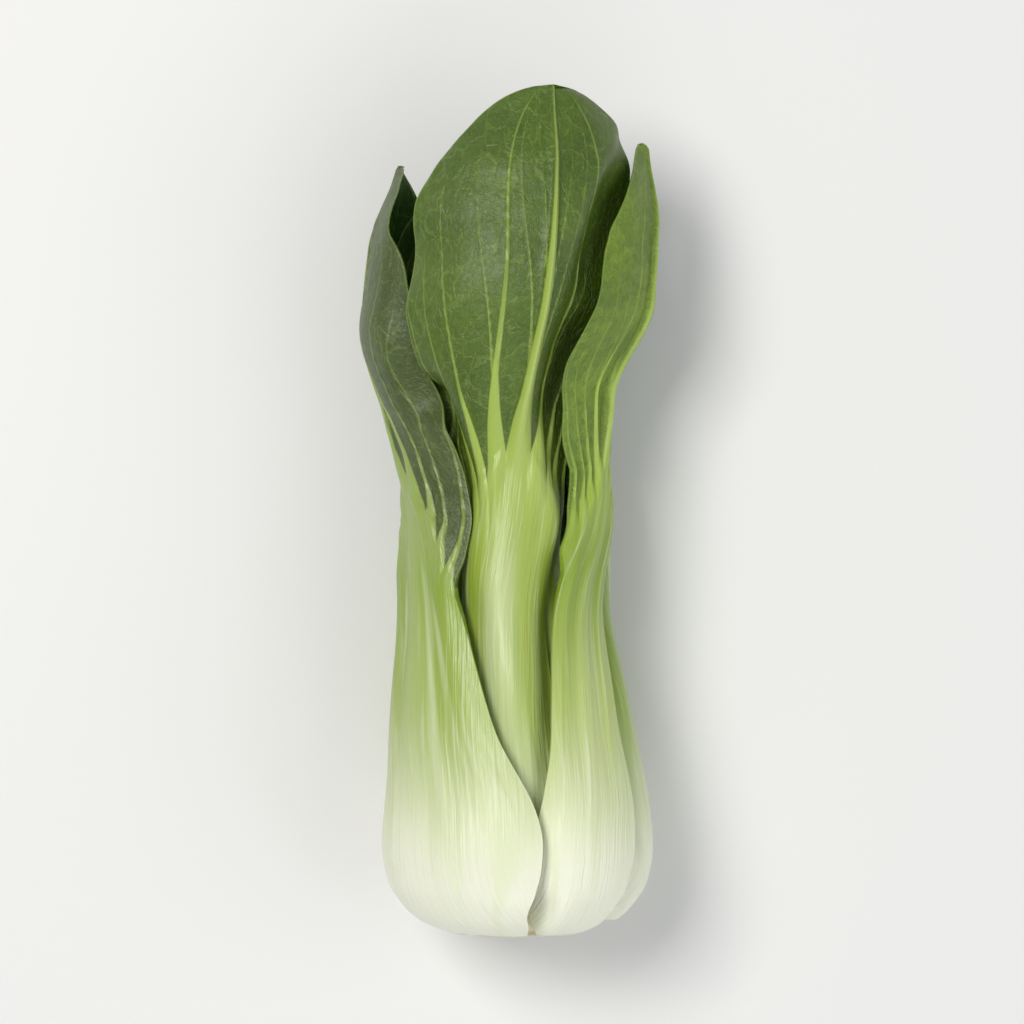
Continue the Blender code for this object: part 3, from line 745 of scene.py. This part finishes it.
def colour(code):
    """A colour as light, from the usual six hexadecimal digits."""
    parts = [int(code[i : i + 2], 16) / 255 for i in (0, 2, 4)]
    return (*(part / 12.92 if part <= 0.04045 else ((part + 0.055) / 1.055) ** 2.4 for part in parts), 1.0)


class Finish:
    """A material in the making."""

    def __init__(self, name):
        self.material = bpy.data.materials.new(name)
        self.material.use_nodes = True
        self.tree = self.material.node_tree
        self.shader = self.tree.nodes["Principled BSDF"]

    def node(self, kind, settings, inputs):
        made = self.tree.nodes.new(kind)
        for name, given in settings.items():
            setattr(made, name, given)
        for name, given in inputs.items():
            feed(made.inputs[name], given)
        return made

    def read(self, name):
        return Value(self.node("ShaderNodeAttribute", {"attribute_name": name}, {}).outputs["Fac"])

    def past_vein(self, kind, ragged):
        """Millimetres past the edge of the nearest vein of a kind, and that vein's width."""
        count, width = self.read(f"{kind}_count"), self.read(f"{kind}_width")
        return abs(count - count.nearest()) * self.read(f"{kind}_pitch") - 0.5 * width + ragged, width

    def in_space(self):
        """Metres in the head's own frame."""
        return Value(self.node("ShaderNodeTexCoord", {}, {}).outputs["Object"])

    def laid_flat(self):
        """Centimetres across the leaf and along it."""
        flat = self.node("ShaderNodeUVMap", {"uv_map": "laid_flat"}, {})
        parts = self.node("ShaderNodeSeparateXYZ", {}, {"Vector": Value(flat.outputs["UV"])})
        return Value(parts.outputs["X"]), Value(parts.outputs["Y"])

    def vector(self, x, y, z):
        made = self.node("ShaderNodeCombineXYZ", {}, {"X": x, "Y": y, "Z": z})
        return Value(made.outputs["Vector"])

    def noise(self, where, scale, detail=2.0, roughness=0.5):
        inputs = {"Vector": where, "Scale": scale, "Detail": detail, "Roughness": roughness}
        return Value(self.node("ShaderNodeTexNoise", {}, inputs).outputs["Fac"])

    def cell_walls(self, where, scale):
        """Distance to the nearest wall of a net of cells."""
        settings = {"voronoi_dimensions": "3D", "feature": "DISTANCE_TO_EDGE"}
        made = self.node("ShaderNodeTexVoronoi", settings, {"Vector": where, "Scale": scale})
        return Value(made.outputs["Distance"])

    def between(self, low, high, value):
        """Rises smoothly from 0 at low to 1 at high."""
        inputs = {"Value": value, "From Min": low, "From Max": high, "To Min": 0.0, "To Max": 1.0}
        made = self.node("ShaderNodeMapRange", {"interpolation_type": "SMOOTHSTEP"}, inputs)
        return Value(made.outputs["Result"])

    def blend(self, first, second, factor):
        """From one colour to another."""
        made = self.node("ShaderNodeMix", {"data_type": "RGBA"}, {})
        for at, given in ((0, factor), (6, first), (7, second)):
            feed(made.inputs[at], given)
        return Value(made.outputs[2])

    def finish(self, base, roughness, height, coat):
        """Feeds the shader. The height is in millimetres."""
        bump = self.node("ShaderNodeBump", {}, {"Strength": 1.0, "Distance": MM, "Height": height})
        feed(self.shader.inputs["Base Color"], base)
        feed(self.shader.inputs["Roughness"], roughness)
        feed(self.shader.inputs["Normal"], Value(bump.outputs["Normal"]))
        self.shader.inputs["Coat Weight"].default_value = coat
        self.shader.inputs["Coat Roughness"].default_value = 0.3
        self.shader.inputs["Subsurface Weight"].default_value = 0.12
        self.shader.inputs["Subsurface Radius"].default_value = (0.6, 1.0, 0.35)
        self.shader.inputs["Subsurface Scale"].default_value = 0.003
        return self.material


# Colours that all leaves share, as six hexadecimal digits
FOOT_CREAM = "EEF0DC"
FOOT_GREEN = "DCE3BC"
PALE_BAND = "E4EBC8"
GREEN_BAND = "86A336"
PALE_STREAK = "EDF2DA"
GREEN_STREAK = "7F9C34"
# A painted highlight: the pale colour laid down the middle of each stalk
RIDGE_HIGHLIGHT = "DAE3BA"
DRIED_CUT = "C8B386"
MARGIN_GREEN = "8FA651"
UPPER_DEEP = "35521A"
UPPER_BRIGHT = "4E7026"

# The cut stem's
PITH = "E9E7CF"
PITH_SHADE = "D5CDA3"
STRANDS = "B0A873"
DRIED_RIM = "C0A578"


@dataclass
class Tint:
    """The colours of one leaf: its blade's two greens, its veins and its stalk, and the strength of the
    painted highlight down its stalk's middle.
    """

    deep: str
    bright: str
    vein: str
    stalk_middle: str
    stalk_top: str
    ridge_highlight: float = 0.15


TINTS = {
    "front_left": Tint("394A17", "4D5F2C", "94A85A", "9CB052", "86A038"),
    "front_middle": Tint("3E570D", "536C19", "9FB653", "AEBF60", "98AD42", 0.5),
    "front_right": Tint("546F15", "7A942A", "9FB84A", "B4C470", "88A330"),
    "right_side": Tint("35560F", "53761C", "9AB54C", "94AC4A", "7E9B34"),
}
PLAIN_TINT = Tint("375612", "567622", "9EB755", "A2B75C", "8CA63E")
INNER_TINT = Tint("4A6F18", "6F902A", "AFC666", "AEC168", "9FB850")


def leaf_finish(leaf):
    """From the cream foot of the stalk to the veined and puckered green blade."""
    tint = TINTS.get(leaf.name, INNER_TINT if leaf.inset else PLAIN_TINT)
    made = Finish(f"{leaf.name}_leaf")
    across, along = made.laid_flat()
    shift = 7.0 * LEAVES.index(leaf)
    here = made.vector(across, along, shift)
    streaks = made.noise(made.vector(across * 9.0, along * 0.35, shift), 1.0, 3.0)
    fine_streaks = made.noise(made.vector(across * 26.0, along * 0.8, shift), 1.0, 2.0)
    bands = made.noise(made.vector(made.read("across_stalk") * 3.2, along * 0.10, shift), 1.0, 2.0)
    patches = made.noise(here, 0.7, 4.0, 0.55)
    mottle = made.noise(here, 5.0, 3.0, 0.6)
    grain = made.noise(here, 26.0, 3.0, 0.6)

    past_vein, width = made.past_vein("vein", (grain - 0.5) * 0.22)
    vein = (1.0 - made.between(-0.12, 0.28, past_vein)) * made.between(0.05, 0.3, width)
    seen = made.between(0.0, 1.4, width) * 0.65 + 0.35
    halo = (1.0 - made.between(0.0, 1.6, past_vein)) * made.between(0.1, 1.2, width)
    past_branch, branch_width = made.past_vein("branch", (grain - 0.5) * 0.22)
    branch = (1.0 - made.between(-0.12, 0.28, past_branch)) * made.between(0.05, 0.4, branch_width)
    bent_across = across + (made.noise(here, 2.2, 2.0) - 0.5) * 0.5
    bent_along = along * 0.7 + (made.noise(here, 2.7, 2.0) - 0.5) * 0.5
    bent = made.vector(bent_across, bent_along, shift)
    wide_line = 1.0 - made.between(0.0, 0.060, made.cell_walls(bent, 2.2))
    fine_line = 1.0 - made.between(0.0, 0.09, made.cell_walls(bent, 7.5))
    in_blade = made.between(-0.01, 0.03, made.read("along_blade") + (streaks - 0.5) * 0.02)
    lamina = (1.0 - vein * seen) * in_blade

    foot_fade = made.between(0.8, 3.4, along + (bands - 0.5) * 3.0)
    foot = made.blend(colour(FOOT_CREAM), colour(FOOT_GREEN), foot_fade)
    stalk = made.blend(foot, colour(tint.stalk_middle), made.between(2.0, 5.8, along + (bands - 0.5) * 3.4))
    stalk = made.blend(stalk, colour(tint.stalk_top), made.between(5.0, 8.6, along + (bands - 0.5) * 3.0))
    grown = made.between(2.0, 6.0, along)
    stalk = made.blend(stalk, colour(PALE_BAND), made.between(0.54, 0.68, bands) * 0.45)
    stalk = made.blend(stalk, colour(GREEN_BAND), (1.0 - made.between(0.34, 0.46, bands)) * grown * 0.55)
    stalk = made.blend(stalk, colour(PALE_STREAK), made.between(0.55, 0.75, streaks) * 0.30)
    stalk = made.blend(stalk, colour(GREEN_STREAK), made.between(0.55, 0.78, fine_streaks) * grown * 0.25)
    cut = 1.0 - made.between(0.02, 0.08, along + (grain - 0.5) * 0.06)
    stain = made.noise(made.in_space(), 260.0, 4.0, 0.6)
    stalk = made.blend(stalk, colour(DRIED_CUT), cut * (made.between(0.35, 0.6, stain) * 0.45 + 0.3))
    stalk = made.blend(stalk, colour(tint.vein), made.between(0.0, 0.16, made.read("along_blade")) * 0.8)
    # Painted highlight: a pale band down the middle of the stalk where light catches its crest, strongest on
    # the front middle leaf
    middle = 1.0 - made.between(0.05, 0.42, abs(made.read("across_stalk")))
    middle = middle * made.between(2.0, 5.0, along) * (1.0 - made.between(7.8, 10.2, along) * 0.8)
    stalk = made.blend(stalk, colour(RIDGE_HIGHLIGHT), middle * tint.ridge_highlight)

    blotches = made.between(0.3, 0.72, patches * 0.6 + mottle * 0.4)
    green = made.blend(colour(tint.deep), colour(tint.bright), blotches)
    green = made.blend(green, colour(tint.bright), halo * 0.45)
    green = made.blend(green, colour(tint.vein), fine_line * 0.07 + wide_line * 0.13)
    green = made.blend(green, colour(tint.vein), branch * 0.5)
    at_margin = 1.0 - made.between(0.0, 0.5, made.read("margin"))
    green = made.blend(green, colour(MARGIN_GREEN), at_margin * 0.4)
    upper_green = made.blend(colour(UPPER_DEEP), colour(UPPER_BRIGHT), patches)
    upper_green = made.blend(upper_green, colour(tint.vein), wide_line * 0.10)
    green = made.blend(upper_green, green, made.read("outer_face"))
    base = made.blend(stalk, green, lamina)

    lumps = made.noise(here, 7.0, 2.0)
    blade_height = wide_line * -0.10 + fine_line * -0.05 + grain * 0.10 + lumps * 0.30
    stalk_height = streaks * 0.34 + fine_streaks * 0.08 + grain * 0.03
    height = stalk_height + (blade_height - stalk_height) * lamina
    roughness = 0.33 + lamina * 0.12 + (patches - 0.5) * 0.16 + (grain - 0.5) * 0.10
    return made.finish(base, roughness, height, 0.1)


def stem_finish():
    """Cut stem: pale and moist in the middle, with a ring of darker strands and a dried tan rim."""
    made = Finish("cut_stem")
    where = made.in_space()
    parts = made.node("ShaderNodeSeparateXYZ", {}, {"Vector": where})
    centre = place(0.0, 0.0, 0.0)
    x, z = Value(parts.outputs["X"]) - float(centre[0]), Value(parts.outputs["Z"]) - float(centre[2])
    reach = (x * x + z * z) ** 0.5 / MM
    spots = made.cell_walls(where, 520.0)
    grain = made.noise(where, 900.0, 3.0)
    ring = made.between(7.0, 9.0, reach) * (1.0 - made.between(11.5, 13.0, reach))
    base = made.blend(colour(PITH), colour(PITH_SHADE), made.between(0.35, 0.7, grain))
    base = made.blend(base, colour(STRANDS), ring * (1.0 - made.between(0.02, 0.35, spots)) * 0.45)
    at_cut = 1.0 - made.between(0.8, 2.0, (Value(parts.outputs["Y"]) - float(centre[1])) / MM)
    rim = made.between(12.0, 15.0, reach + (grain - 0.5) * 3.0)
    base = made.blend(base, colour(DRIED_RIM), rim * at_cut * 0.7)
    return made.finish(base, 0.5 + (grain - 0.5) * 0.2, grain * 0.25 + ring * 0.1, 0.05)


def area_light(name, place_at, aim, size, power, tone):
    light = bpy.data.lights.new(name, "AREA")
    light.shape = "RECTANGLE"
    light.size, light.size_y = size
    light.energy = power
    light.color = tone
    thing = bpy.data.objects.new(name, light)
    thing.location = place_at
    thing.rotation_euler = (Vector(aim) - Vector(place_at)).to_track_quat("-Z", "Y").to_euler()
    bpy.context.scene.collection.objects.link(thing)


def studio():
    """A pale floor and soft light, and the camera over the head."""
    bm = bmesh.new()
    bmesh.ops.create_grid(bm, x_segments=1, y_segments=1, size=3.0)
    mesh = bpy.data.meshes.new("floor")
    bm.to_mesh(mesh)
    bm.free()
    floor = link(mesh)
    floor.location.z = -0.0003
    made = Finish("floor")
    made.shader.inputs["Base Color"].default_value = (0.80, 0.80, 0.79, 1.0)
    made.shader.inputs["Roughness"].default_value = 0.7
    mesh.materials.append(made.material)

    aim = (0.0, 0.0, 0.03)
    area_light("key", (-0.42, 0.30, 1.0), aim, (0.45, 0.45), 8.2, (1.0, 0.98, 0.95))
    area_light("fill", (0.8, -0.2, 0.8), aim, (1.0, 1.0), 3.7, (0.97, 0.98, 1.0))
    area_light("end", (0.1, -0.9, 0.5), aim, (0.8, 0.5), 2.0, (1.0, 1.0, 1.0))
    world = bpy.data.worlds.new("studio")
    world.use_nodes = True
    world.node_tree.nodes["Background"].inputs["Color"].default_value = (0.93, 0.95, 0.97, 1.0)
    world.node_tree.nodes["Background"].inputs["Strength"].default_value = 0.33
    bpy.context.scene.world = world
    bpy.context.scene.view_settings.view_transform = "Standard"

    camera = bpy.data.cameras.new("camera")
    camera.lens = LENS
    camera.sensor_width = SENSOR
    camera.clip_start = 0.01
    eye = bpy.data.objects.new("camera", camera)
    eye.location = (0.0, 0.0, 0.03 + PICTURE_HEIGHT * LENS / SENSOR)
    bpy.context.scene.collection.objects.link(eye)
    bpy.context.scene.camera = eye


def dress():
    """Puts a whole leaf over each stalk and blade, and the stem over the core."""
    for layer in lay_leaves():
        leaf = layer.leaf
        piece = leaf_piece(layer)
        piece.data.materials.append(leaf_finish(leaf))
        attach(piece, "root")
        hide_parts(f"{leaf.name}_stalk", f"{leaf.name}_blade")
    stem = stem_piece()
    stem.data.materials.append(stem_finish())
    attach(stem, "root")
    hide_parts("stem_core")


studio()
dress()
